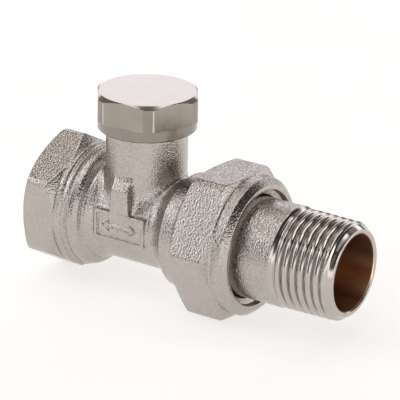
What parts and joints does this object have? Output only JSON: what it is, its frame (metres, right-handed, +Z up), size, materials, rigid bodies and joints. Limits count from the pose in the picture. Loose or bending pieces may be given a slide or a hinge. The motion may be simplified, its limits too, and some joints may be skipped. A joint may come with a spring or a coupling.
{
  "type": "lockshield radiator valve",
  "caption": "Straight lockshield radiator valve in nickel-plated brass: hexagon inlet socket, capped neck with a screw-down insert, and a union nut with a male threaded tail.",
  "frame": {"origin": "centre of the inlet socket's mouth, on the flow line", "axes": "+X along the flow line to the threaded tail, +Z up the neck along the spindle, +Y away from the marking plate"},
  "size_m": [0.0744, 0.0338, 0.044],
  "materials": {
    "cast_nickel": "satin nickel plate over blasted brass",
    "turned_nickel": "bright nickel plate over turned brass",
    "bare_brass": "turned, unplated",
    "spring_steel": "plain",
    "black_rubber": "matt",
    "seal_fibre": "vulcanised fibre"
  },
  "bodies": {
    "root": {"valve_body": "cast_nickel", "insert_bush": "bare_brass", "bush_o_ring": "black_rubber", "spindle_circlip": "spring_steel"},
    "tail": {"tailpiece": "turned_nickel", "tailpiece_o_ring": "black_rubber"},
    "union_nut": {"union_nut": "cast_nickel"},
    "cap_seal": {"cap_gasket": "seal_fibre"},
    "blanking_cap": {"blanking_cap": "turned_nickel"},
    "seal_disc": {"disc_holder": "bare_brass", "disc_seal": "black_rubber"},
    "shutoff_spindle": {"shutoff_spindle": "bare_brass", "spindle_o_ring_lower": "black_rubber", "spindle_o_ring_upper": "black_rubber", "disc_clip": "spring_steel"},
    "cone_seal": {"cone_o_ring": "black_rubber"},
    "presetting_cone": {"presetting_cone": "bare_brass"}
  },
  "joints": [
    {"name": "tail_draw", "type": "slide", "parent": "root", "child": "tail", "axis": [1, 0, 0], "range_m": [0, 0.00816]},
    {"name": "union_nut_turn", "type": "hinge", "parent": "tail", "child": "union_nut", "pos_m": [0.0439, 0, 0], "axis": [1, 0, 0], "range_deg": [0, 1620]},
    {"name": "cap_lift", "type": "slide", "parent": "root", "child": "cap_seal", "axis": [0, 0, 1], "range_m": [0, 0.006]},
    {"name": "cap_turn", "type": "hinge", "parent": "cap_seal", "child": "blanking_cap", "pos_m": [0.023, 0, 0.0246], "axis": [0, 0, 1], "range_deg": [0, 2160]},
    {"name": "disc_lift", "type": "slide", "parent": "root", "child": "seal_disc", "axis": [0, 0, 1], "range_m": [-0.003, 0]},
    {"name": "spindle_turn", "type": "hinge", "parent": "seal_disc", "child": "shutoff_spindle", "pos_m": [0.023, 0, 0.014], "axis": [0, 0, 1], "range_deg": [-1080, 0]},
    {"name": "cone_lift", "type": "slide", "parent": "shutoff_spindle", "child": "cone_seal", "axis": [0, 0, 1], "range_m": [-0.0025, 0]},
    {"name": "cone_turn", "type": "hinge", "parent": "cone_seal", "child": "presetting_cone", "pos_m": [0.023, 0, 0.0095], "axis": [0, 0, 1], "range_deg": [-1800, 0]}
  ],
  "couplings": [
    {"joint": "union_nut_turn", "follows": "tail_draw", "rad_per_m": 3463.2},
    {"joint": "cap_turn", "follows": "cap_lift", "rad_per_m": 6283.2},
    {"joint": "spindle_turn", "follows": "disc_lift", "rad_per_m": 6283.2},
    {"joint": "cone_turn", "follows": "cone_lift", "rad_per_m": 12566}
  ]
}
